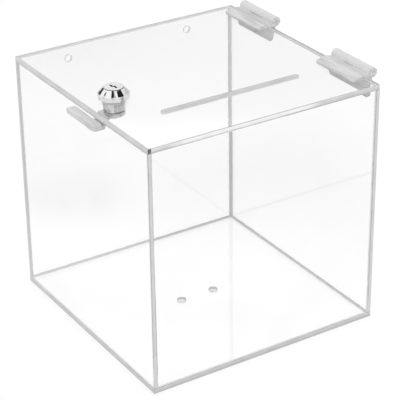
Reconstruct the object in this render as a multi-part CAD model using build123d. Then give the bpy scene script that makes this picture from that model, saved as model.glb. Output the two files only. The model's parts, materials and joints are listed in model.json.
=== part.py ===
from build123d import *
from math import atan, cos, degrees, pi
import os

os.makedirs("parts", exist_ok=True)

# A clear acrylic box with a hinged lid, a slot in the lid and a cam lock.
# Millimetres. The origin is the middle of the underside, +Z is up, the front faces -Y,
# the lock is at the left (-X) edge of the lid and the hinges at the right (+X) edge.

# Box of glued acrylic sheet
box_width = 200.0
box_depth = 200.0
box_height = 200.0
wall = 3.0
base_thick = 4.0
lid_thick = 4.0
lid_hinge_gap = 0.2

# Slot in the lid and screw holes in the back wall and the floor
slot_length = 120.0
slot_width = 5.0
slot_inset = 48.0
wall_hole_spacing = 110.0
wall_hole_radius = 3.0
wall_hole_drop = 14.0
floor_hole_spacing = 30.0
floor_hole_radius = 3.5

# Moulded butt hinges with three knuckles
hinge_length = 48.0
hinge_inset = 13.0
leaf_reach = 19.0
leaf_edge_thick = 1.4
leaf_ridge_thick = 3.5
leaf_ridge_place = 8.5
leaf_ridge_rounding = 2.0
leaf_groove_thick = 2.6
leaf_groove_place = 5.4
leaf_corner = 3.0
barrel_radius = 3.75
barrel_chamfer = 0.5
knuckle_count = 3
knuckle_gap = 0.3
pin_radius = 1.25
pin_chamfer = 0.3
pin_clearance = 0.05

# Lock housing: rim, faceted cone, flat-sided body and the ring that holds it
lock_inset = 25.0
lock_offset = -10.0
rim_radius = 11.75
rim_height = 3.8
rim_chamfer = 0.3
head_height = 8.3
head_base_radius = 11.4
head_top_radius = 7.85
head_facets = 14
head_crown_height = 0.4
head_crown_radius = 7.6
head_crown_chamfer = 0.25
body_radius = 8.4
body_flat = 7.3
body_length = 12.0
body_clearance = 0.15
ring_thick = 1.2
ring_depth = 1.0
ring_stand_out = 1.0
ring_opening = 50.0
ring_clearance = 0.05

# Plug with its keyway, wafers and springs
plug_radius = 5.5
plug_clearance = 0.05
plug_head_radius = 6.6
plug_head_thick = 1.4
key_slot_width = 1.6
key_slot_half = 3.8
key_slot_shift = 0.7
key_slot_overlap = 0.5
key_slot_bottom = 7.6
wafer_count = 5
wafer_pitch = 2.3
wafer_first = 3.6
wafer_thick = 0.8
wafer_width = 5.6
wafer_clearance = 0.1
wafer_inset = 0.15
wafer_window_width = 3.6
wafer_window_length = 7.0
wafer_step = 0.3
wafer_ear_reach = 4.4
wafer_ear_length = 0.8
wafer_ear_place = 1.2
wafer_groove_depth = 0.9
wafer_groove_play = 0.3
spring_radius = 0.6
spring_bore = 0.4
spring_length = 3.2
spring_clearance = 0.1

# Stop washer, cam, washer and screw on the plug's square tail
tail_side = 6.4
tail_clearance = 0.05
tail_gap = 0.4
tail_short = 0.3
stop_thick = 1.4
stop_radius = 8.0
stop_ear_angle = 22.0
stop_ear_play = 3.0
stop_ear_inner = 6.2
stop_ear_outer = 7.1
stop_ear_height = 1.5
stop_ear_clearance = 0.2
turn_angle = 90.0
cam_thick = 2.0
cam_width = 14.0
cam_hub_radius = 8.2
cam_reach = 20.0
cam_crank_start = 9.5
cam_crank_run = 2.5
cam_drop = 4.5
cam_bend = 0.8
cam_tip_rounding = 2.0
washer_radius = 4.2
washer_thick = 0.8
washer_split = 0.8
screw_radius = 2.0
screw_clearance = 0.05
screw_length = 8.0
screw_hole_spare = 0.2
screw_head_radius = 3.6
screw_head_height = 2.4
screw_head_chamfer = 0.8
screw_recess_width = 0.9
screw_recess_length = 4.4
screw_recess_depth = 1.4

# Strip glued inside the left wall, over the end of the cam
keeper_length = 40.0
keeper_width = 7.5
keeper_thick = 4.0
keeper_gap = 0.3

# How far a cut runs past the faces that it opens
past = 1.0

# Places worked out from the sizes above
wall_top = box_height - lid_thick
half_width = box_width / 2
half_depth = box_depth / 2
slot_place = -half_depth + slot_inset
lock_place = -half_width + lock_inset
hinge_x = half_width + barrel_radius
hinge_y = half_depth - hinge_inset - hinge_length / 2
hinge_z = box_height + barrel_radius
plug_shoulder = head_height - plug_head_thick
stop_top = -body_length - tail_gap
cam_top = stop_top - stop_thick
cam_bottom = cam_top - cam_thick
tail_end = cam_bottom + tail_short
washer_bottom = cam_bottom - washer_thick
cam_direction = 180.0
keeper_bottom = box_height + cam_top - cam_drop + keeper_gap


def save(name, *solids):
    """Write the solids of one piece, or of a set of like pieces, to its file."""
    shape = solids[0] if len(solids) == 1 else Compound(children=list(solids))
    shape.label = name
    export_step(shape, f"parts/{name}.step")


def slab(x0, x1, y0, y1, z0, z1):
    """A sheet or block between two corners."""
    block = Box(abs(x1 - x0), abs(y1 - y0), abs(z1 - z0))
    return Pos((x0 + x1) / 2, (y0 + y1) / 2, (z0 + z1) / 2) * block


def rod(radius, z0, z1):
    """An upright cylinder between two heights."""
    return Pos(0, 0, (z0 + z1) / 2) * Cylinder(radius, z1 - z0)


def sector(inner, outer, z0, z1, middle, spread):
    """A piece of a ring, spread about a middle direction in degrees."""
    centred = (Align.NONE, Align.NONE, Align.CENTER)
    wedge = Cylinder(outer, z1 - z0, arc_size=spread, align=centred)
    turned = Rot(0, 0, middle - spread / 2) * wedge
    return Pos(0, 0, (z0 + z1) / 2) * turned - rod(inner, z0 - past, z1 + past)


def round_edges(piece):
    """The circular edges of a turned piece."""
    return piece.edges().filter_by(GeomType.CIRCLE)


# Panels of the box


def bottom_panel():
    """The floor sheet, under the four walls, with its two screw holes."""
    panel = slab(-half_width, half_width, -half_depth, half_depth, 0, base_thick)
    hole = rod(floor_hole_radius, -past, base_thick + past)
    for side in (-1, 1):
        panel -= Pos(side * floor_hole_spacing / 2, 0, 0) * hole
    return panel


def side_panel(side):
    """A full-depth wall at the left (-1) or right (1)."""
    outer = side * half_width
    return slab(outer, outer - side * wall, -half_depth, half_depth, base_thick, wall_top)


def cross_panel(side):
    """A wall between the side walls, at the front (-1) or back (1)."""
    outer = side * half_depth
    reach = half_width - wall
    return slab(-reach, reach, outer, outer - side * wall, base_thick, wall_top)


def back_panel():
    """The back wall, with the two holes that hang the box on a wall."""
    panel = cross_panel(1)
    hole = Rot(90, 0, 0) * Cylinder(wall_hole_radius, 4 * wall)
    height = box_height - wall_hole_drop
    for side in (-1, 1):
        panel -= Pos(side * wall_hole_spacing / 2, half_depth, height) * hole
    return panel


def keeper_block():
    """The strip that the locked cam reaches under."""
    inner = -half_width + wall
    reach = keeper_length / 2
    top = keeper_bottom + keeper_thick
    return slab(inner, inner + keeper_width, -reach, reach, keeper_bottom, top)


def lock_hole():
    """The flat-sided hole that keeps the housing from turning."""
    round_hole = rod(body_radius + body_clearance, -lid_thick - past, past)
    across = 2 * (body_flat + body_clearance)
    return round_hole & Box(4 * body_radius, across, 4 * lid_thick)


def lid_panel():
    """The lid sheet, with its slot and the hole for the lock."""
    right = half_width - lid_hinge_gap
    panel = slab(-half_width, right, -half_depth, half_depth, wall_top, box_height)
    slot = extrude(SlotOverall(slot_length, slot_width), amount=2 * lid_thick, both=True)
    return panel - Pos(0, slot_place, box_height) * slot - in_lid(lock_hole())


# Hinges, made about the pin's axis


def leaf_section():
    """Cross-section of a leaf on the lid: thin free edge, rounded ridge, groove and root."""
    root = -barrel_radius
    outline = Polyline(
        (0, root),
        (-leaf_reach, root),
        (-leaf_reach, root + leaf_edge_thick),
        (-leaf_ridge_place, root + leaf_ridge_thick),
        (-leaf_groove_place, root + leaf_groove_thick),
        (0, root + leaf_groove_thick),
        close=True,
    )
    face = make_face(outline)
    return fillet(face.vertices().sort_by(Axis.Y)[-1], leaf_ridge_rounding)


def hinge_leaf(own_knuckles):
    """A leaf that lies inwards on the lid, with the knuckles that it has on the pin."""
    leaf = Pos(0, hinge_length / 2, 0) * extrude(Plane.XZ * leaf_section(), amount=hinge_length)
    corners = leaf.edges().filter_by(Axis.Z).group_by(Axis.X)[0]
    leaf = fillet(corners, leaf_corner)
    barrel = Rot(90, 0, 0) * Cylinder(barrel_radius, hinge_length)
    leaf += chamfer(round_edges(barrel), barrel_chamfer)
    pitch = hinge_length / knuckle_count
    for index in range(knuckle_count):
        if index in own_knuckles:
            continue
        first = index == 0
        last = index == knuckle_count - 1
        start = -hinge_length / 2 + index * pitch - (past if first else knuckle_gap / 2)
        end = -hinge_length / 2 + (index + 1) * pitch + (past if last else knuckle_gap / 2)
        leaf -= slab(-barrel_radius - knuckle_gap, leaf_reach, start, end, -leaf_reach, leaf_reach)
    return leaf - Rot(90, 0, 0) * Cylinder(pin_radius + pin_clearance, 2 * hinge_length)


def down_the_wall(leaf):
    """Swap the lid's plane for the wall's, so that the leaf hangs down outside the wall."""
    return mirror(leaf, about=Plane(origin=(0, 0, 0), z_dir=(1, 0, -1)))


def hinge_pin():
    """The pin, with chamfered ends."""
    pin = Rot(90, 0, 0) * Cylinder(pin_radius, hinge_length)
    return chamfer(round_edges(pin), pin_chamfer)


def on_hinge(piece, side):
    """Set a piece made about the pin's axis at the front (-1) or rear (1) hinge."""
    return Pos(hinge_x, side * hinge_y, hinge_z) * piece


# Lock, made about its axis from the top of the lid


def in_lid(piece):
    """Set a lock piece into the lid."""
    return Pos(lock_place, lock_offset, box_height) * piece


def faceted_head():
    """The cone of flat facets over the rim, with a low round crown."""
    cone_top = head_height - head_crown_height
    cone_height = cone_top - rim_height
    lean = (head_base_radius - head_top_radius) * cos(pi / head_facets)
    slope = degrees(atan(lean / cone_height))
    base = Pos(0, 0, rim_height) * RegularPolygon(head_base_radius, head_facets)
    crown = rod(head_crown_radius, cone_top, head_height)
    crown = chamfer(round_edges(crown).sort_by(Axis.Z).last, head_crown_chamfer)
    return extrude(base, amount=cone_height, taper=slope) + crown


def housing_bore():
    """The stepped bore for the plug, with the grooves that the wafers spring into."""
    low = -body_length - past
    shoulder = plug_shoulder - plug_clearance
    bore = rod(plug_radius + plug_clearance, low, head_height)
    bore += rod(plug_head_radius + plug_clearance, shoulder, head_height + past)
    across = wafer_width / 2 + wafer_groove_play
    reach = plug_radius + wafer_groove_depth
    return bore + slab(-across, across, -reach, reach, low, plug_shoulder)


def stop_track():
    """The track that the stop washer's ear runs in."""
    inner = stop_ear_inner - stop_ear_clearance
    top = -body_length + stop_ear_height + stop_ear_clearance
    spread = turn_angle + stop_ear_angle + 2 * stop_ear_play
    middle = cam_direction - turn_angle / 2
    return sector(inner, body_radius + past, -body_length - past, top, middle, spread)


def lock_housing():
    """Rim, head and flat-sided body, bored for the plug and cut for ring, wafers and stop."""
    rim = rod(rim_radius, 0, rim_height)
    rim = chamfer(round_edges(rim).sort_by(Axis.Z).last, rim_chamfer)
    body = rod(body_radius, -body_length, rim_height)
    body &= Box(4 * body_radius, 2 * body_flat, 4 * body_length)
    neck = body_radius - ring_depth
    ring_bottom = -lid_thick - ring_thick - ring_clearance
    ring_groove = sector(neck, body_radius + past, ring_bottom, -lid_thick, cam_direction, 360)
    return rim + body + faceted_head() - housing_bore() - ring_groove - stop_track()


def lock_ring():
    """The open spring ring that holds the housing under the lid."""
    neck = body_radius - ring_depth + ring_clearance
    outer = body_radius + ring_stand_out
    bottom = -lid_thick - ring_thick
    return sector(neck, outer, bottom, -lid_thick, cam_direction, 360 - ring_opening)


def wafer_heights():
    """Heights of the wafers' middles, from the top one down."""
    return [wafer_first - index * wafer_pitch for index in range(wafer_count)]


def key_slot(z0, z1):
    """The stepped keyway: two side by side slots that overlap in the middle."""
    half = key_slot_width / 2
    left, right = -key_slot_shift, key_slot_shift
    far = slab(left - half, left + half, -key_slot_overlap, key_slot_half, z0, z1)
    return far + slab(right - half, right + half, -key_slot_half, key_slot_overlap, z0, z1)


def spring_pocket_x():
    """Distance of the springs from the lock's axis."""
    return wafer_width / 2 + wafer_clearance + spring_radius + spring_clearance


def lock_plug():
    """The turning plug: head, keyway, wafer slots, spring pockets, square tail and thread hole."""
    plug = rod(plug_head_radius, plug_shoulder, head_height)
    plug += rod(plug_radius, stop_top, plug_shoulder)
    side = tail_side / 2
    plug += slab(-side, side, -side, side, tail_end, stop_top)
    plug -= key_slot(-key_slot_bottom, head_height + past)
    across = wafer_width / 2 + wafer_clearance
    ear_reach = wafer_ear_reach + wafer_clearance
    ear_end = wafer_ear_place + wafer_ear_length + wafer_clearance
    spring_start = wafer_ear_place - spring_length
    pocket_half = spring_radius + spring_clearance
    near, far = spring_pocket_x() - pocket_half, spring_pocket_x() + pocket_half
    for height in wafer_heights():
        low = height - wafer_thick / 2 - wafer_clearance
        high = height + wafer_thick / 2 + wafer_clearance
        plug -= slab(-across, across, -2 * plug_radius, 2 * plug_radius, low, high)
        plug -= slab(0, ear_reach, spring_start, ear_end, low, high)
        floor, roof = height - pocket_half, height + pocket_half
        plug -= slab(near, far, spring_start, wafer_ear_place, floor, roof)
    thread_end = washer_bottom + screw_length + screw_hole_spare
    return plug - rod(screw_radius + screw_clearance, tail_end - past, thread_end)


def lock_wafers():
    """The sprung wafers, drawn flush with the plug as a key holds them."""
    edge = wafer_width / 2
    ear_end = wafer_ear_place + wafer_ear_length
    window_edge, window_reach = wafer_window_width / 2, wafer_window_length / 2
    wafers = []
    for index, height in enumerate(wafer_heights()):
        low, high = height - wafer_thick / 2, height + wafer_thick / 2
        plate = rod(plug_radius - wafer_inset, low, high)
        plate &= slab(-edge, edge, -plug_radius, plug_radius, low, high)
        plate += slab(0, wafer_ear_reach, wafer_ear_place, ear_end, low, high)
        cut = ((2 * index) % 3 - 1) * wafer_step
        near, far = cut - window_reach, cut + window_reach
        wafers.append(plate - slab(-window_edge, window_edge, near, far, low - past, high + past))
    return wafers


def wafer_springs():
    """The wafers' coil springs, as plain sleeves because the plug hides them."""
    sleeve = Cylinder(spring_radius, spring_length) - Cylinder(spring_bore, 2 * spring_length)
    sleeve = Rot(90, 0, 0) * sleeve
    middle = wafer_ear_place - spring_length / 2
    return [Pos(spring_pocket_x(), middle, height) * sleeve for height in wafer_heights()]


def square_hole(z0, z1):
    """The hole that fits the plug's square tail."""
    half = tail_side / 2 + tail_clearance
    return slab(-half, half, -half, half, z0 - past, z1 + past)


def stop_washer():
    """The washer whose ear runs in the housing's track and ends the turn."""
    disc = rod(stop_radius, cam_top, stop_top)
    ear_root = stop_top - stop_thick / 2
    ear_top = -body_length + stop_ear_height
    ear = sector(stop_ear_inner, stop_ear_outer, ear_root, ear_top, cam_direction, stop_ear_angle)
    return disc + ear - square_hole(cam_top, stop_top)


def lock_cam():
    """The cranked cam: hub on the tail, a bend downwards and the end that goes under the keeper."""
    crank_end = cam_crank_start + cam_crank_run
    low = cam_top - cam_drop
    under = cam_crank_run / 2
    profile = Polyline(
        (cam_hub_radius, cam_top),
        (-cam_crank_start, cam_top),
        (-crank_end, low),
        (-cam_reach, low),
        (-cam_reach, low - cam_thick),
        (-crank_end + under, low - cam_thick),
        (-cam_crank_start + under, cam_bottom),
        (cam_hub_radius, cam_bottom),
        close=True,
    )
    side = Plane.XZ * make_face(profile)
    strip = extrude(side, amount=cam_hub_radius, both=True)
    bends = strip.edges().filter_by(Axis.Y).filter_by_position(Axis.X, -crank_end - past, 0)
    strip = fillet(bends, cam_bend)
    arm = slab(-cam_reach, 0, -cam_width / 2, cam_width / 2, low - cam_thick, cam_top)
    arm &= rod(cam_reach, low - cam_thick, cam_top)
    tip = arm.edges().filter_by(Axis.Z).group_by(Axis.X)[0]
    plan = fillet(tip, cam_tip_rounding) + rod(cam_hub_radius, low - cam_thick, cam_top)
    return (strip & plan) - square_hole(cam_bottom, cam_top)


def lock_washer():
    """The split spring washer under the cam."""
    low, high = washer_bottom - past, cam_bottom + past
    half_split = washer_split / 2
    washer = rod(washer_radius, washer_bottom, cam_bottom)
    washer -= rod(screw_radius + screw_clearance, low, high)
    return washer - slab(0, 2 * washer_radius, -half_split, half_split, low, high)


def lock_screw():
    """The pan-head screw with a cross recess that holds the cam on the plug."""
    head_end = washer_bottom - screw_head_height
    head = rod(screw_head_radius, head_end, washer_bottom)
    head = chamfer(round_edges(head).sort_by(Axis.Z).first, screw_head_chamfer)
    screw = head + rod(screw_radius, washer_bottom, washer_bottom + screw_length)
    half, reach = screw_recess_width / 2, screw_recess_length / 2
    bottom = head_end + screw_recess_depth
    screw -= slab(-half, half, -reach, reach, head_end - past, bottom)
    return screw - slab(-reach, reach, -half, half, head_end - past, bottom)


save("bottom_panel", bottom_panel())
save("front_panel", cross_panel(-1))
save("back_panel", back_panel())
save("left_panel", side_panel(-1))
save("right_panel", side_panel(1))
save("keeper_block", keeper_block())
save("lid_panel", lid_panel())

end_knuckles = [index for index in range(knuckle_count) if index % 2 == 0]
middle_knuckles = [index for index in range(knuckle_count) if index % 2 == 1]
for place, side in (("front", -1), ("rear", 1)):
    save(f"hinge_{place}_lid_leaf", on_hinge(hinge_leaf(end_knuckles), side))
    save(f"hinge_{place}_wall_leaf", on_hinge(down_the_wall(hinge_leaf(middle_knuckles)), side))
    save(f"hinge_{place}_pin", on_hinge(hinge_pin(), side))

save("lock_housing", in_lid(lock_housing()))
save("lock_ring", in_lid(lock_ring()))
save("lock_plug", in_lid(lock_plug()))
save("stop_washer", in_lid(stop_washer()))
save("lock_cam", in_lid(lock_cam()))
save("lock_washer", in_lid(lock_washer()))
save("lock_screw", in_lid(lock_screw()))
save("lock_wafers", *[in_lid(wafer) for wafer in lock_wafers()])
save("wafer_springs", *[in_lid(spring) for spring in wafer_springs()])
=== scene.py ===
import json
from math import cos, pi, radians, sin

import bmesh
import bpy
from mathutils import Matrix, Vector


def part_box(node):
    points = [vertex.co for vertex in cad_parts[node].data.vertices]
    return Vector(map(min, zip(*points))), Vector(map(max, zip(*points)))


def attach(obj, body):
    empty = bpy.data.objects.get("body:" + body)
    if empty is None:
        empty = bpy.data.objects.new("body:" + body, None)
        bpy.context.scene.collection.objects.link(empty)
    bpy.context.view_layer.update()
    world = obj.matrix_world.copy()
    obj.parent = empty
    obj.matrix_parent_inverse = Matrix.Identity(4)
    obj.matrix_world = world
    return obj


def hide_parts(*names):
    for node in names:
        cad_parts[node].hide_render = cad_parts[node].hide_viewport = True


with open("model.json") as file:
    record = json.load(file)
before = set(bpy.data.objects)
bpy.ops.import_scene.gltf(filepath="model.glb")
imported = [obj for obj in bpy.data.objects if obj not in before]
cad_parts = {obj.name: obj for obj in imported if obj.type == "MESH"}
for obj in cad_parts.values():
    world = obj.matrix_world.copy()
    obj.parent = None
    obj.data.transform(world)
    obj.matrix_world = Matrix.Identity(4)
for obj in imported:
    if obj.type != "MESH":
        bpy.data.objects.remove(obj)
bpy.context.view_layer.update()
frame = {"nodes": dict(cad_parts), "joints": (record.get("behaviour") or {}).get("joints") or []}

# Sizes in metres, in the frame's axes. SHARP is in degrees, SLOPE and FLAT are a normal's height.
MM = 0.001
JOINT_GAP = 0.03 * MM
ARRIS = 0.25 * MM
SHEET_SHARP = 60
SHEET_INSET = 1.0 * MM
MOULD_ROUNDING = 0.6 * MM
MOULD_SHARP = 40
KNUCKLE_REACH = 5.2 * MM
KNUCKLE_END = 1.0 * MM
METAL_ROUNDING = 0.08 * MM
METAL_SHARP = 15
FACET_CROWN = 0.09 * MM
FACET_CUTS = 5
FACET_AREA = 10.0 * MM * MM
FACET_SLOPE = (0.6, 0.7)
CROWN_FLAT = 0.9
FLOOR_DROP = 0.1 * MM
FLOOR_SIZE = 6.0

ACRYLIC_IOR = 1.49

# What shiny surfaces mirror: a floor that is white near the object and greys further away, and a
# grey wall that turns white between two elevations, in degrees
FLOOR_WHITE_REACH = 0.2
FLOOR_GREY_REACH = 0.36
FLOOR_GREY = 0.84
WALL_LEVEL = 0.76
WALL_TOP = (24.2, 24.9)

# The lock's axis, where it meets the top of the lid
LOCK_AXIS = Vector(next(j for j in frame["joints"] if j["name"] == "plug_turn")["pos_m"])
LOCK_HOLE_REACH = 9.0 * MM
CROWN_RIM_Z = LOCK_AXIS.z + 7.89 * MM
STOP_WASHER_DARK = 0.7 * MM

# The cement's line along the joints: its grey, then how far in it reaches and how solid it is
WALL = 3.0 * MM
CEMENT_LEVEL = 0.5
THIN = (0.3 * MM, 0.35)
MIDDLING = (0.9 * MM, 0.7)
WIDE = (1.6 * MM, 0.85)
WIDEST = (2.2 * MM, 0.85)

# Camera: where it looks from, what it looks at and its lens
CAMERA_AZIMUTH = -32.1
CAMERA_ELEVATION = 27.45
CAMERA_ROLL = -0.72
CAMERA_DISTANCE = 1.3187
CAMERA_TARGET = Vector((0.0221, 0.0282, 0.0707))
CAMERA_LENS = 146.2


# Node trees


def node(tree, kind, inputs=None, **settings):
    """Add a shader node; an input is a value, a socket, or a node whose first output it takes."""
    made = tree.nodes.new("ShaderNode" + kind)
    for name, value in settings.items():
        setattr(made, name, value)
    for key, value in (inputs or {}).items():
        if isinstance(value, bpy.types.Node):
            value = value.outputs[0]
        if isinstance(value, bpy.types.NodeSocket):
            tree.links.new(value, made.inputs[key])
        else:
            made.inputs[key].default_value = value
    return made


def grey(level):
    """A neutral colour."""
    return (level, level, level, 1.0)


def new_material(name):
    """An empty node material: (material, tree, its output node)."""
    material = bpy.data.materials.new(name)
    material.use_nodes = True
    tree = material.node_tree
    tree.nodes.clear()
    return material, tree, tree.nodes.new("ShaderNodeOutputMaterial")


def show(tree, output, shader):
    """Join a shader to the output."""
    tree.links.new(shader.outputs[0], output.inputs["Surface"])


def place(tree):
    """The point's place in the frame."""
    return node(tree, "TexCoord").outputs["Object"]


def noise(tree, stretch, detail=2.0, roughness=0.5):
    """Noise with so many grains to the metre along X, Y and Z."""
    scaled = node(tree, "Mapping", {"Vector": place(tree), "Scale": stretch})
    inputs = {"Vector": scaled, "Scale": 1.0, "Detail": detail, "Roughness": roughness}
    return node(tree, "TexNoise", inputs).outputs[0]


def remap(tree, value, low, high, new_low, new_high, smooth=False):
    """A value's range turned into another one, held at its ends."""
    inputs = {"Value": value, 1: low, 2: high, 3: new_low, 4: new_high}
    kind = "SMOOTHSTEP" if smooth else "LINEAR"
    return node(tree, "MapRange", inputs, interpolation_type=kind).outputs[0]


def math(tree, operation, first, second=0.0):
    """One step of arithmetic."""
    return node(tree, "Math", {0: first, 1: second}, operation=operation).outputs[0]


def axis_of(tree, vector, axis):
    """One of a vector's three numbers."""
    return node(tree, "SeparateXYZ", {0: vector}).outputs[axis]


def ramp(tree, value, stops):
    """Grey levels at stops along a value."""
    made = node(tree, "ValToRGB", {0: value})
    elements = made.color_ramp.elements
    while len(elements) < len(stops):
        elements.new(0.5)
    for element, (position, level) in zip(elements, stops):
        element.position = position
        element.color = grey(level)
    return made.outputs[0]


def blend(tree, share, first, second, kind="MIX"):
    """Two colours mixed by a share of the second one."""
    inputs = {0: share, 6: first, 7: second}
    return node(tree, "Mix", inputs, data_type="RGBA", blend_type=kind).outputs[2]


def times(tree, first, second):
    """Two colours multiplied."""
    return blend(tree, 1.0, first, second, "MULTIPLY")


def lets_light_by(tree, shader, share):
    """The shader, with a share of the lamps' and other surfaces' light let straight through."""
    rays = node(tree, "LightPath").outputs
    light = math(tree, "MAXIMUM", rays["Is Shadow Ray"], rays["Is Diffuse Ray"])
    passed = math(tree, "MULTIPLY", light, share)
    clear = node(tree, "BsdfTransparent", {"Color": grey(1.0)})
    return node(tree, "MixShader", {0: passed, 1: shader, 2: clear})


# Materials


def clear_face(name):
    """Clear sheet with faint haze and fine rubbing marks: (material, tree, output, shader)."""
    material, tree, output = new_material(name)
    rubbing = noise(tree, (900.0, 60.0, 900.0), 3.0)
    inputs = {"Base Color": grey(1.0), "IOR": ACRYLIC_IOR, "Transmission Weight": 1.0}
    glass = node(tree, "BsdfPrincipled", inputs)
    tree.links.new(remap(tree, rubbing, 0.5, 0.9, 0.0, 0.04), glass.inputs["Roughness"])
    clouds = noise(tree, (9.0, 9.0, 9.0), 2.0, 0.4)
    haze = remap(tree, clouds, 0.5, 0.8, 0.001, 0.02, smooth=True)
    dust = node(tree, "BsdfDiffuse", {"Color": grey(0.5)})
    return material, tree, output, node(tree, "MixShader", {0: haze, 1: glass, 2: dust})


def plain_face(name):
    """A sheet with nothing cemented to it."""
    material, tree, output, clear = clear_face(name)
    show(tree, output, lets_light_by(tree, clear, 1.0))
    return material


def cemented_face(name, axis, low, high, inner_side, joints):
    """A sheet with the cement's cloudy line on its inner face, along its joints.

    Each joint gives the axis across it, the end of the sheet that it is at, how thick the sheet is
    that covers it there, and its cement.
    """
    material, tree, output, clear = clear_face(name)
    point = node(tree, "SeparateXYZ", {0: place(tree)})
    wander = remap(tree, noise(tree, (300.0, 300.0, 300.0), 2.0), 0.3, 0.7, -0.25 * MM, 0.25 * MM)
    share = 0.0
    for along, end, covered, (width, solid) in joints:
        border = low[along] if end < 0 else high[along]
        reach = math(tree, "ABSOLUTE", math(tree, "SUBTRACT", point.outputs[along], border))
        reach = math(tree, "ADD", math(tree, "SUBTRACT", reach, covered + width), wander)
        line = remap(tree, reach, -0.1 * MM, 0.1 * MM, solid, 0.0, smooth=True)
        share = math(tree, "MAXIMUM", share, line)
    middle = (low[axis] + high[axis]) / 2
    side = remap(tree, point.outputs[axis], middle - 0.1 * MM, middle + 0.1 * MM, 0.0, 1.0)
    if inner_side < 0:
        side = math(tree, "SUBTRACT", 1.0, side)
    share = math(tree, "MULTIPLY", share, side)
    inputs = {"Base Color": grey(CEMENT_LEVEL), "Roughness": 0.4, "IOR": ACRYLIC_IOR}
    cement = node(tree, "BsdfPrincipled", inputs)
    mixed = node(tree, "MixShader", {0: share, 1: clear, 2: cement})
    show(tree, output, lets_light_by(tree, mixed, 1.0))
    return material


def cut_edge(name, axis, low, high, stops, stretches=()):
    """A sheet's cut edge: grey across its thickness, streaked along it.

    Each stretch gives where it starts and ends along X, how softly, and its own greys.
    """
    material, tree, output = new_material(name)
    across = remap(tree, axis_of(tree, place(tree), axis), low, high, 0.0, 1.0)
    colour = ramp(tree, across, stops)
    wander = remap(tree, noise(tree, (40.0, 40.0, 40.0), 2.0), 0.3, 0.7, -1.0, 1.0)
    for start, stop, soft, levels in stretches:
        shift = math(tree, "MULTIPLY", wander, soft)
        along = math(tree, "ADD", axis_of(tree, place(tree), 0), shift)
        begun = remap(tree, along, start - soft, start + soft, 0.0, 1.0, smooth=True)
        ended = remap(tree, along, stop - soft, stop + soft, 1.0, 0.0, smooth=True)
        inside = math(tree, "MULTIPLY", begun, ended)
        colour = blend(tree, inside, colour, ramp(tree, across, levels))
    streaks = remap(tree, noise(tree, (60.0, 60.0, 60.0), 3.0), 0.35, 0.65, 0.94, 1.05)
    colour = times(tree, colour, streaks)
    saw = noise(tree, (2500.0, 2500.0, 2500.0), 1.0)
    bump = node(tree, "Bump", {"Height": saw, "Strength": 0.15, "Distance": 0.05 * MM})
    body = node(tree, "BsdfPrincipled", {"Base Color": colour, "Normal": bump, "IOR": ACRYLIC_IOR})
    tree.links.new(remap(tree, saw, 0.3, 0.7, 0.2, 0.4), body.inputs["Roughness"])
    show(tree, output, lets_light_by(tree, body, 0.7))
    return material


def arris():
    """The narrow bevels round each sheet, which catch the light; their lighter, patchy grey is
    partly wear and partly a painted highlight.
    """
    material, tree, output = new_material("arris")
    wear_and_highlight = noise(tree, (150.0, 150.0, 150.0), 3.0)
    body = node(tree, "BsdfPrincipled", {"Roughness": 0.15, "IOR": ACRYLIC_IOR})
    # Lighter grey on the bevels: partly a painted highlight
    tree.links.new(ramp(tree, wear_and_highlight, [(0.3, 0.5), (0.7, 0.8)]), body.inputs["Base Color"])
    clear = node(tree, "BsdfTransparent", {"Color": grey(1.0)})
    mixed = node(tree, "MixShader", {0: 0.6, 1: clear, 2: body})
    show(tree, output, lets_light_by(tree, mixed, 0.7))
    return material


def milky(name, level, solid):
    """Cloudy acrylic: part see-through, with soft clouds in it."""
    material, tree, output = new_material(name)
    clouds = noise(tree, (120.0, 60.0, 120.0), 3.0)
    colour = ramp(tree, clouds, [(0.35, 0.86 * level), (0.65, 1.1 * level)])
    body = node(tree, "BsdfPrincipled", {"Base Color": colour, "IOR": ACRYLIC_IOR})
    tree.links.new(remap(tree, clouds, 0.3, 0.7, 0.15, 0.3), body.inputs["Roughness"])
    clear = node(tree, "BsdfTransparent", {"Color": grey(1.0)})
    amount = remap(tree, clouds, 0.3, 0.7, solid + 0.05, solid - 0.05)
    mixed = node(tree, "MixShader", {0: amount, 1: clear, 2: body})
    show(tree, output, lets_light_by(tree, mixed, 0.7))
    return material


# How far flow streaks darken and lighten moulded plastic, and how solid it is
STREAKED = (0.76, 1.14)
FAINTLY_STREAKED = (0.94, 1.06)
MOULDED_SOLID = (0.86, 0.74)


def moulded(name, heights, levels, streaked=STREAKED):
    """The hinges' milky plastic, with flow streaks along Y and a painted shade that darkens its
    tone downwards.
    """
    material, tree, output = new_material(name)
    height = axis_of(tree, place(tree), 2)
    # Painted shade: darker towards the bottom, set by height
    painted_shade_fall = remap(tree, height, *heights, *levels, smooth=True)
    flow = noise(tree, (420.0, 22.0, 420.0), 4.0, 0.6)
    streaks = remap(tree, flow, 0.4, 0.6, *streaked)
    colour = times(tree, math(tree, "MULTIPLY", painted_shade_fall, streaks), grey(1.0))
    bump = node(tree, "Bump", {"Height": flow, "Strength": 0.3, "Distance": 0.2 * MM})
    body = node(tree, "BsdfPrincipled", {"Base Color": colour, "Normal": bump, "IOR": ACRYLIC_IOR})
    tree.links.new(remap(tree, flow, 0.3, 0.7, 0.25, 0.45), body.inputs["Roughness"])
    clear = node(tree, "BsdfTransparent", {"Color": grey(1.0)})
    amount = remap(tree, flow, 0.3, 0.7, *MOULDED_SOLID)
    mixed = node(tree, "MixShader", {0: amount, 1: clear, 2: body})
    show(tree, output, lets_light_by(tree, mixed, 0.9))
    return material


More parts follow.
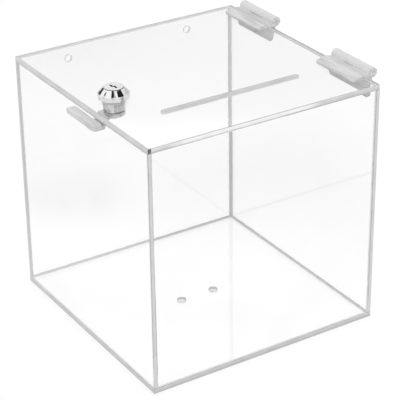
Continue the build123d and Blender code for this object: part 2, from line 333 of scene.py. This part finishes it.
def metal(name, colour, roughness, grain=(400.0, 400.0, 400.0), bump=0.01 * MM, dark_from=None):
    """Plated metal: a little uneven in shine and surface, and dark above a height."""
    material, tree, output = new_material(name)
    uneven = noise(tree, grain, 4.0)
    colour = times(tree, ramp(tree, uneven, [(0.3, 0.94), (0.7, 1.0)]), colour)
    if dark_from is not None:
        height = axis_of(tree, place(tree), 2)
        dark = remap(tree, height, dark_from - 0.05 * MM, dark_from + 0.05 * MM, 1.0, 0.08)
        colour = times(tree, colour, dark)
    waves = node(tree, "Bump", {"Height": uneven, "Strength": 0.2, "Distance": bump})
    inputs = {"Base Color": colour, "Metallic": 1.0, "Normal": waves}
    body = node(tree, "BsdfPrincipled", inputs)
    spread = remap(tree, uneven, 0.3, 0.7, 0.6 * roughness, 1.4 * roughness)
    tree.links.new(spread, body.inputs["Roughness"])
    show(tree, output, body)
    return material


# Pieces made from the CAD parts' own outlines


def joined_faces(name):
    """A mesh with a CAD part's triangles joined into whole faces."""
    mesh = bmesh.new()
    mesh.from_mesh(frame["nodes"][name].data)
    bmesh.ops.remove_doubles(mesh, verts=mesh.verts, dist=0.001 * MM)
    edges, points = mesh.edges[:], mesh.verts[:]
    bmesh.ops.dissolve_limit(mesh, angle_limit=radians(0.5), verts=points, edges=edges)
    return mesh


def rounded(mesh, width, sharp, segments=2):
    """Round the edges that turn by more than an angle in degrees, and give the new faces."""
    edges = [e for e in mesh.edges if e.is_manifold and e.calc_face_angle() > radians(sharp)]
    made = bmesh.ops.bevel(
        mesh, geom=edges, offset=width, segments=segments, profile=0.6,
        affect="EDGES", clamp_overlap=True,
    )
    return made["faces"]


def pulled_in(mesh, low, high, gap):
    """Move the outermost faces in by a gap, so that pieces that touch don't share a plane."""
    for vertex in mesh.verts:
        for axis in range(3):
            if vertex.co[axis] - low[axis] < gap:
                vertex.co[axis] += gap
            elif high[axis] - vertex.co[axis] < gap:
                vertex.co[axis] -= gap


def finished(mesh, name, node_name, body, materials, smooth=35):
    """Turn the mesh into a piece that stands for a CAD part and rides on its body."""
    data = bpy.data.meshes.new(name)
    mesh.to_mesh(data)
    mesh.free()
    data.shade_smooth()
    data.set_sharp_from_angle(angle=radians(smooth))
    for material in materials:
        data.materials.append(material)
    piece = bpy.data.objects.new(name, data)
    bpy.context.scene.collection.objects.link(piece)
    weigh = piece.modifiers.new("even_shading", "WEIGHTED_NORMAL")
    weigh.keep_sharp = True
    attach(piece, body)
    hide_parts(node_name)
    return piece


# A sheet's materials: broad faces, cut edges, bevels, and the lid's front or the floor's holes
BROAD, CUT, BEVEL, SPECIAL = range(4)


def sheet(node_name, axis, body, materials):
    """An acrylic sheet, with its materials in the order above."""
    mesh = joined_faces(node_name)
    low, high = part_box(node_name)
    pulled_in(mesh, low, high, JOINT_GAP)
    bevels = set(rounded(mesh, ARRIS, SHEET_SHARP))
    for face in mesh.faces:
        middle = face.calc_center_median()
        if face in bevels:
            face.material_index = BEVEL
        elif abs(face.normal[axis]) < 0.5:
            face.material_index = CUT
            inside = all(low[i] + SHEET_INSET < middle[i] < high[i] - SHEET_INSET for i in (0, 1))
            if node_name == "lid_panel" and middle.y < low[1] + SHEET_INSET:
                face.material_index = SPECIAL
            elif node_name == "lid_panel" and (middle - LOCK_AXIS).xy.length < LOCK_HOLE_REACH:
                face.material_index = BROAD
            elif node_name == "bottom_panel" and inside:
                face.material_index = SPECIAL
    return finished(mesh, node_name + "_sheet", node_name, body, materials)


def is_facet(face):
    """True for one of the large leaning faces of the lock's head."""
    leaning = FACET_SLOPE[0] < face.normal.z < FACET_SLOPE[1]
    return leaning and len(face.verts) == 4 and face.calc_area() > FACET_AREA


def crowned_facets(mesh):
    """Give each flat facet of the lock's head a slight crown, as polishing leaves it."""
    facets = [face for face in mesh.faces if is_facet(face)]
    outlines = []
    for face in facets:
        corners = sorted((vertex.co.copy() for vertex in face.verts), key=lambda co: co.z)
        low, high = (corners[0] + corners[1]) / 2, (corners[2] + corners[3]) / 2
        low_half = (corners[0] - corners[1]).length / 2
        high_half = (corners[2] - corners[3]).length / 2
        outlines.append((low, high - low, low_half, high_half, face.normal.copy()))
    edges = list({edge for face in facets for edge in face.edges})
    bmesh.ops.subdivide_edges(mesh, edges=edges, cuts=FACET_CUTS, use_grid_fill=True)
    for low, rise, low_half, high_half, normal in outlines:
        around = rise.cross(normal).normalized()
        for vertex in mesh.verts:
            offset = vertex.co - low
            height = offset.dot(rise) / rise.length_squared
            if abs(offset.dot(normal)) > 0.01 * MM or not 0.001 < height < 0.999:
                continue
            across = offset.dot(around) / (low_half + (high_half - low_half) * height)
            swell = (1.0 - across ** 2) * 4.0 * height * (1.0 - height)
            if swell > 0.0:
                vertex.co += FACET_CROWN * swell * normal


# The sheets

# Greys across a cut edge: how far across, level. The cut edge's frosted grey is its own, while the
# lighter and darker bands across its thickness are painted light and shade.
PLAIN_EDGE = [(0.0, 0.58), (0.15, 0.68), (0.5, 0.71), (0.85, 0.68), (1.0, 0.58)]
FLOOR_EDGE = [(0.0, 0.5), (0.3, 0.54), (0.6, 0.58), (0.8, 0.7), (1.0, 0.6)]
LID_EDGE = [(0.0, 0.58), (0.25, 0.64), (0.5, 0.68), (0.8, 0.74), (1.0, 0.66)]
# Painted shade: darker greys for the lid's right edge
SHADED_EDGE = [(0.0, 0.4), (0.25, 0.46), (0.5, 0.5), (0.8, 0.54), (1.0, 0.46)]
# Painted light: a lighter stretch of the lid's front edge
LIT_STRETCH_EDGE = [(0.0, 0.45), (0.2, 0.6), (0.5, 0.78), (0.85, 0.8), (1.0, 0.6)]
# Painted highlight: a near-white band along the lid's front edge
HIGHLIGHT_BAND_EDGE = [(0.0, 0.6), (0.15, 0.7), (0.3, 1.0), (0.8, 1.0), (0.92, 0.62), (1.0, 0.65)]
HOLE_EDGE = [(0.0, 0.95), (0.38, 0.95), (0.46, 0.58), (0.9, 0.52), (1.0, 0.6)]
# Painted shade: the dark spot at the lid's front-left corner
CORNER_SHADE_EDGE = [(0.0, 0.2), (0.3, 0.16), (0.7, 0.12), (1.0, 0.3)]

# Stretches along X with greys of their own: of the lid's front edge, then its right edge. They are
# painted light and shade: on the front edge a painted lighter stretch, a painted highlight band
# and a painted shade at the left corner, and on the right edge a painted shade.
FRONT_STRETCHES = (
    (-97.0 * MM, -78.0 * MM, 1.0 * MM, LIT_STRETCH_EDGE),
    (-77.0 * MM, 42.0 * MM, 5.0 * MM, HIGHLIGHT_BAND_EDGE),
    (-101.0 * MM, -97.0 * MM, 0.4 * MM, CORNER_SHADE_EDGE),
)
RIGHT_STRETCH = ((99.0 * MM, 101.0 * MM, 0.3 * MM, SHADED_EDGE),)
ARRIS_LIGHT = arris()

# For each panel: the axis across it, which side of it is inside, its joints as cemented_face
# takes them, and the greys of its cut edges
PANELS = {
    "bottom_panel": (
        2, 1,
        [(0, -1, WALL, THIN), (1, -1, WALL, THIN), (0, 1, WALL, WIDE), (1, 1, WALL, WIDE)],
        FLOOR_EDGE,
    ),
    "front_panel": (
        1, 1,
        [(0, -1, 0.0, THIN), (0, 1, 0.0, THIN), (2, -1, 0.0, THIN)],
        PLAIN_EDGE,
    ),
    "back_panel": (
        1, -1,
        [(0, -1, 0.0, MIDDLING), (0, 1, 0.0, WIDEST), (2, -1, 0.0, WIDE)],
        PLAIN_EDGE,
    ),
    "left_panel": (
        0, 1,
        [(1, -1, WALL, THIN), (1, 1, WALL, MIDDLING), (2, -1, 0.0, THIN)],
        PLAIN_EDGE,
    ),
    "right_panel": (
        0, -1,
        [(1, -1, WALL, THIN), (1, 1, WALL, WIDEST), (2, -1, 0.0, WIDE)],
        PLAIN_EDGE,
    ),
}
for node_name, (axis, inner_side, joints, stops) in PANELS.items():
    low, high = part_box(node_name)
    face = cemented_face(node_name + "_face", axis, low, high, inner_side, joints)
    edge = cut_edge(node_name + "_edge", axis, low[axis], high[axis], stops)
    hole = cut_edge(node_name + "_hole", axis, low[axis], high[axis], HOLE_EDGE)
    sheet(node_name, axis, "box", [face, edge, ARRIS_LIGHT, hole])
low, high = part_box("lid_panel")
lid_edge = cut_edge("lid_edge", 2, low[2], high[2], LID_EDGE, RIGHT_STRETCH)
lid_front = cut_edge("lid_front_edge", 2, low[2], high[2], LID_EDGE, FRONT_STRETCHES)
sheet("lid_panel", 2, "lid", [plain_face("lid_face"), lid_edge, ARRIS_LIGHT, lid_front])
KEEPER = milky("keeper_block", 0.68, 0.78)
sheet("keeper_block", 2, "box", [KEEPER, milky("keeper_sides", 0.56, 0.85), ARRIS_LIGHT])

# The hinges: between which heights each part's tone drops off as painted shade, then its greys
# there

LYING, HANGING, ROUND = (0.196, 0.204), (0.180, 0.202), (0.200, 0.206)
LEAF = moulded("milky_leaf", LYING, (0.6, 0.68))
# Painted shade: darker greys on the leaves' rounded rims, as outlines
LEAF_RIM_SHADE = moulded("milky_leaf_rim_shade", LYING, (0.44, 0.5))
HANGING_LEAF = moulded("milky_wall_leaf", HANGING, (0.26, 0.66))
HANGING_RIM_SHADE = moulded("milky_wall_leaf_rim_shade", HANGING, (0.24, 0.5))
# The knuckles are a little lighter than the leaves: a painted highlight
BARREL = moulded("milky_barrel", ROUND, (0.7, 0.74), FAINTLY_STREAKED)

# A leaf's materials after the first: rounded rims, darker as a painted outline shade, and knuckles
# but for their outer ends
RIM, KNUCKLE = 1, 2

for end in ("front", "rear"):
    low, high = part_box(f"hinge_{end}_pin")
    pin_middle, leaf_half = Vector(low).lerp(Vector(high), 0.5), (high[1] - low[1]) / 2
    for part, body, materials in (
        ("lid_leaf", "lid", [LEAF, LEAF_RIM_SHADE, BARREL]),
        ("wall_leaf", "box", [HANGING_LEAF, HANGING_RIM_SHADE, BARREL]),
        ("pin", "box", [LEAF]),
    ):
        node_name = f"hinge_{end}_{part}"
        mesh = joined_faces(node_name)
        if part != "pin":
            rims = set(rounded(mesh, MOULD_ROUNDING, MOULD_SHARP))
            for face in mesh.faces:
                offset = face.calc_center_median() - pin_middle
                on_barrel = offset.xz.length < KNUCKLE_REACH
                if on_barrel and abs(offset.y) < leaf_half - KNUCKLE_END:
                    face.material_index = KNUCKLE
                elif face in rims:
                    face.material_index = RIM
        finished(mesh, node_name + "_moulded", node_name, body, materials)

# The lock

CHROME = metal("bright_chrome", grey(0.93), 0.03)
CROWN = metal("brushed_crown", grey(0.93), 0.3)
# Painted shade: near-black chrome for a dark line round the crown's rim
CROWN_RIM_SHADE = metal("crown_rim_painted_shade", grey(0.1), 0.2)
BODY_PLATE = metal("satin_plate", grey(0.78), 0.22, (700.0, 700.0, 30.0), 0.004 * MM)
STEEL = metal("zinc_plate", grey(0.66), 0.28, (200.0, 900.0, 200.0))
# The stop washer's steel turns near black above a height over its underside
stop_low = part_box("stop_washer")[0][2]
DARK_STEEL = metal("steel_dark_above", grey(0.62), 0.3, dark_from=stop_low + STOP_WASHER_DARK)
SPRING_STEEL = metal("spring_steel", grey(0.6), 0.25)
BRASS = metal("wafer_brass", (0.75, 0.56, 0.28, 1.0), 0.25)

# Each node's body, material slot and material
METALS = {
    "lock_housing": ("lid", "chrome", CHROME),
    "lock_ring": ("lid", "plated_steel", SPRING_STEEL),
    "lock_plug": ("plug", "chrome", CHROME),
    "stop_washer": ("plug", "plated_steel", DARK_STEEL),
    "lock_cam": ("plug", "plated_steel", STEEL),
    "lock_washer": ("plug", "plated_steel", STEEL),
    "lock_screw": ("plug", "plated_steel", STEEL),
    "lock_wafers": ("plug", "brass", BRASS),
    "wafer_springs": ("plug", "plated_steel", SPRING_STEEL),
}

# The chromed nodes' materials after the first, which is for the head; the last is a painted shade
# line round the crown's rim
UNDER_LID, ON_CROWN, ON_RIM = 1, 2, 3

for node_name, (body, slot, material) in METALS.items():
    mesh = joined_faces(node_name)
    if node_name == "lock_housing":
        crowned_facets(mesh)
    if node_name != "wafer_springs":
        rounded(mesh, METAL_ROUNDING, METAL_SHARP)
    materials = [material]
    if slot == "chrome":
        materials += [BODY_PLATE, CROWN, CROWN_RIM_SHADE]
        for face in mesh.faces:
            middle = face.calc_center_median()
            if middle.z < LOCK_AXIS.z:
                face.material_index = UNDER_LID
            elif middle.z > CROWN_RIM_Z:
                on_rim = node_name == "lock_housing" and face.normal.z < CROWN_FLAT
                face.material_index = ON_RIM if on_rim else ON_CROWN
    finished(mesh, node_name + "_metal", node_name, body, materials)


# Floor, surroundings and lamps


# Soft darker places on the floor, which the walls mirror: where, how wide, level
FLOOR_SHADES = [
    ((-0.197, 0.218, 0.0), 0.08, 0.7),
    ((0.182, -0.37, 0.0), 0.2, 0.2),
]


def is_looked_at(tree):
    """1 for rays from the camera, straight, mirrored or through something clear."""
    rays = node(tree, "LightPath").outputs
    beyond = math(tree, "MAXIMUM", rays["Is Glossy Ray"], rays["Is Transmission Ray"])
    return math(tree, "MAXIMUM", rays["Is Camera Ray"], beyond)


def is_mirrored(tree):
    """1 for shiny rays that some surface has reflected on their way, as well as let through."""
    rays = node(tree, "LightPath").outputs
    reflections = math(tree, "MINIMUM", rays["Glossy Depth"], 1.0)
    return math(tree, "MULTIPLY", rays["Is Glossy Ray"], reflections)


def studio_floor():
    """A floor that looks white and keeps the object's shadow. Mirrored, it greys further away."""
    bpy.ops.mesh.primitive_plane_add(size=FLOOR_SIZE, location=(0, 0, -FLOOR_DROP))
    floor = bpy.context.object
    floor.name = "studio_floor"
    material, tree, output = new_material("floor_white")
    matt = node(tree, "BsdfDiffuse", {"Color": grey(0.8)})
    lift = node(tree, "Emission", {"Color": grey(1.0), "Strength": 0.2})
    seen = node(tree, "AddShader", {0: matt, 1: lift})
    away = node(tree, "VectorMath", {0: place(tree)}, operation="LENGTH").outputs["Value"]
    level = remap(tree, away, FLOOR_WHITE_REACH, FLOOR_GREY_REACH, 1.0, FLOOR_GREY, smooth=True)
    for spot, reach, shade in FLOOR_SHADES:
        offset = node(tree, "VectorMath", {0: place(tree), 1: spot}, operation="DISTANCE")
        shaded = remap(tree, offset.outputs["Value"], 0.0, reach, shade, 1.0, smooth=True)
        level = math(tree, "MULTIPLY", level, shaded)
    mirrored = node(tree, "Emission", {"Color": grey(1.0), "Strength": level})
    plain = node(tree, "MixShader", {0: is_looked_at(tree), 1: matt, 2: seen})
    show(tree, output, node(tree, "MixShader", {0: is_mirrored(tree), 1: plain, 2: mirrored}))
    floor.data.materials.append(material)


def surroundings():
    """White all round for the camera, and soft even light for everything else."""
    world = bpy.data.worlds.new("studio")
    world.use_nodes = True
    tree = world.node_tree
    tree.nodes.clear()
    output = tree.nodes.new("ShaderNodeOutputWorld")
    rays = node(tree, "LightPath").outputs
    direction = node(tree, "TexCoord").outputs["Generated"]
    mirrored = node(tree, "Background", {"Color": studio_walls(tree, direction), "Strength": 1.0})
    light = node(tree, "Background", {"Color": grey(1.0), "Strength": 0.8})
    white = node(tree, "Background", {"Color": grey(1.0), "Strength": 1.0})
    seen = math(tree, "MAXIMUM", rays["Is Camera Ray"], rays["Is Transmission Ray"])
    direct = node(tree, "MixShader", {0: seen, 1: light, 2: white})
    show(tree, output, node(tree, "MixShader", {0: is_mirrored(tree), 1: direct, 2: mirrored}))
    bpy.context.scene.world = world


def between(tree, value, low, high, soft):
    """1 where a value is between two others, with soft ends."""
    begun = remap(tree, value, low - soft, low + soft, 0.0, 1.0, smooth=True)
    ended = remap(tree, value, high - soft, high + soft, 1.0, 0.0, smooth=True)
    return math(tree, "MULTIPLY", begun, ended)


def studio_walls(tree, direction):
    """What shiny surfaces mirror: a pale grey wall, white above it, and a few dark cards."""
    parts = node(tree, "SeparateXYZ", {0: direction})
    x, y, height = parts.outputs[0], parts.outputs[1], parts.outputs[2]
    elevation = math(tree, "ARCSINE", height)
    azimuth = math(tree, "ARCTAN2", y, x)
    azimuth = math(tree, "MODULO", math(tree, "ADD", azimuth, 2.0 * pi), 2.0 * pi)
    low, high = (radians(angle) for angle in WALL_TOP)
    sky = remap(tree, elevation, low, high, WALL_LEVEL, 1.0, smooth=True)
    colour = times(tree, grey(1.0), sky)
    for around, upwards, soft, level in DARK_CARDS:
        soft = radians(soft)
        across = between(tree, azimuth, radians(around[0]), radians(around[1]), soft)
        along = between(tree, elevation, radians(upwards[0]), radians(upwards[1]), soft)
        inside = math(tree, "MULTIPLY", across, along)
        colour = times(tree, colour, remap(tree, inside, 0.0, 1.0, 1.0, level))
    return colour


# Dark cards for the lock's facets: azimuths, elevations and softness in degrees, level.
# The last two are one pale card that goes on through azimuth 0.
DARK_CARDS = [
    ((143.0, 157.0), (26.0, 50.0), 1.5, 0.02),
    ((210.0, 250.0), (42.0, 66.0), 5.0, 0.02),
    ((295.0, 323.0), (34.0, 52.0), 2.0, 0.02),
    ((98.0, 110.0), (2.0, 16.0), 2.0, 0.1),
    ((6.0, 18.0), (4.0, 16.0), 2.0, 0.3),
    ((-10.0, 38.0), (-10.0, 36.0), 4.0, 0.8),
    ((335.0, 370.0), (-10.0, 36.0), 4.0, 0.8),
]


def lamp(name, azimuth, elevation, strength, spread):
    """A broad distant lamp that lights evenly and isn't seen, mirrored or through clear sheet."""
    data = bpy.data.lights.new(name, "SUN")
    data.energy = strength
    data.angle = radians(spread)
    made = bpy.data.objects.new(name, data)
    bpy.context.scene.collection.objects.link(made)
    a, e = radians(azimuth), radians(elevation)
    towards = Vector((cos(a) * cos(e), sin(a) * cos(e), sin(e)))
    made.rotation_mode = "QUATERNION"
    made.rotation_quaternion = towards.to_track_quat("Z", "Y")
    made.visible_glossy = False
    made.visible_transmission = False


def photo_camera():
    """A camera at the photograph's viewing angle."""
    a, e, r = radians(CAMERA_AZIMUTH), radians(CAMERA_ELEVATION), radians(CAMERA_ROLL)
    back = Vector((sin(a) * cos(e), -cos(a) * cos(e), sin(e)))
    level = Vector((cos(a), sin(a), 0.0))
    across = cos(r) * level + sin(r) * back.cross(level)
    data = bpy.data.cameras.new("camera")
    data.lens = CAMERA_LENS
    camera = bpy.data.objects.new("camera", data)
    bpy.context.scene.collection.objects.link(camera)
    axes = Matrix((across, back.cross(across), back)).transposed()
    spot = CAMERA_TARGET + CAMERA_DISTANCE * back
    camera.matrix_world = Matrix.Translation(spot) @ axes.to_4x4()
    bpy.context.scene.camera = camera


studio_floor()
surroundings()
lamp("key_lamp", azimuth=200.0, elevation=55.0, strength=0.6, spread=60.0)
lamp("fill_lamp", azimuth=300.0, elevation=40.0, strength=0.3, spread=60.0)
photo_camera()
bpy.context.scene.view_settings.view_transform = "Standard"
